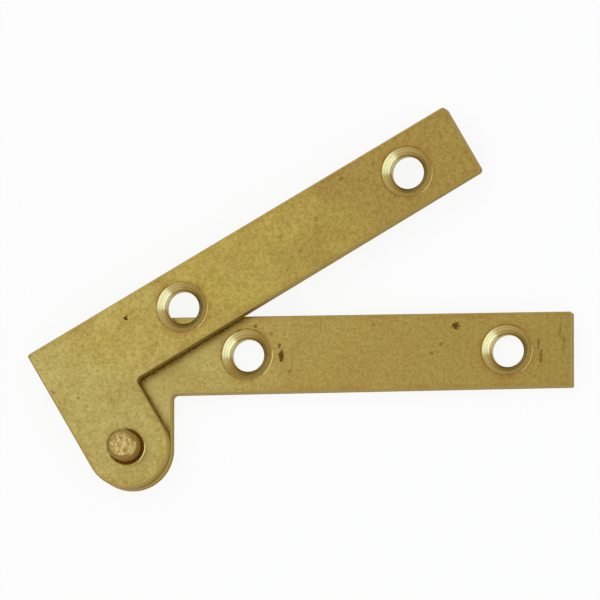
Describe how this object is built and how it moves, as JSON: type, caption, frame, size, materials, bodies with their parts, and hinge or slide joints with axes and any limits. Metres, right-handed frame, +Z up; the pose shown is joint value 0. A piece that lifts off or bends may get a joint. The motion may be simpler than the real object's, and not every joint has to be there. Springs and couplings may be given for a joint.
{
  "type": "pin hinge",
  "caption": "Cranked brass pin hinge: two flat L-shaped leaves with countersunk screw holes that swing on a riveted pin, for a small inset or overlay door.",
  "frame": {"origin": "on the pin's axis, at the underside of the lower leaf", "axes": "+Z up along the pin, towards its free end; +X along the lower leaf's arm, towards its free end"},
  "size_m": [0.0724, 0.0498, 0.009],
  "materials": {
    "leaf_brass": "dull rolled sheet brass, lightly tarnished and stained",
    "pin_brass": "turned brass, worn bright at the rim",
    "washer_brass": "punched sheet brass"
  },
  "bodies": {
    "lower_leaf": {"lower_leaf": "leaf_brass", "pivot_pin": "pin_brass", "spacer_washer": "washer_brass"},
    "upper_leaf": {"upper_leaf": "leaf_brass"}
  },
  "joints": [
    {"name": "leaf_swing", "type": "hinge", "parent": "lower_leaf", "child": "upper_leaf", "pos_m": [0, 0, 0], "axis": [0, 0, 1], "continuous": true}
  ]
}
